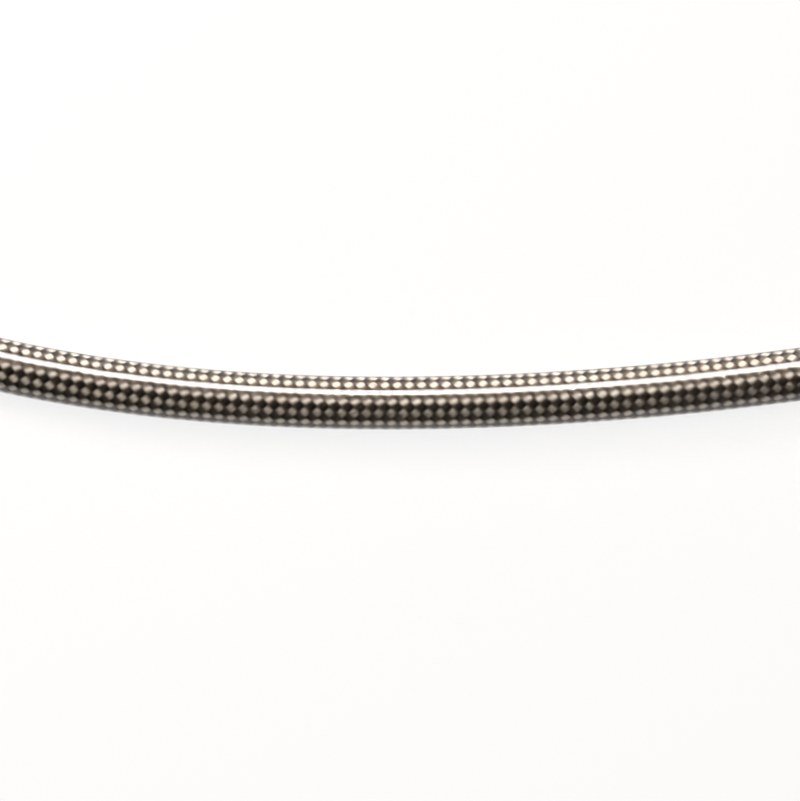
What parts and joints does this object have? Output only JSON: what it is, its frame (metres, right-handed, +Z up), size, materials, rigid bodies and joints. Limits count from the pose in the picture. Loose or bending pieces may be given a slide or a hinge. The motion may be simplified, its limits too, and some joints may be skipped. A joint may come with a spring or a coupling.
{
  "type": "braided hose",
  "caption": "Cut length of slim flexible hose: smooth liner, woven steel wire braid and clear outer jacket, lying in one shallow bend.",
  "frame": {"origin": "centre of the hose's bounding box on the surface it lies on", "axes": "+X along the hose, +Y towards the inside of its shallow bend, +Z up"},
  "size_m": [0.1246, 0.014, 0.0075],
  "materials": {
    "liner": "smooth milky white fluoropolymer",
    "braid": "bright drawn stainless wire, woven two over two under",
    "jacket": "glossy clear soft plastic"
  },
  "bodies": {
    "root": {"inner_liner": "liner", "wire_braid": "braid", "clear_jacket": "jacket"}
  },
  "joints": []
}
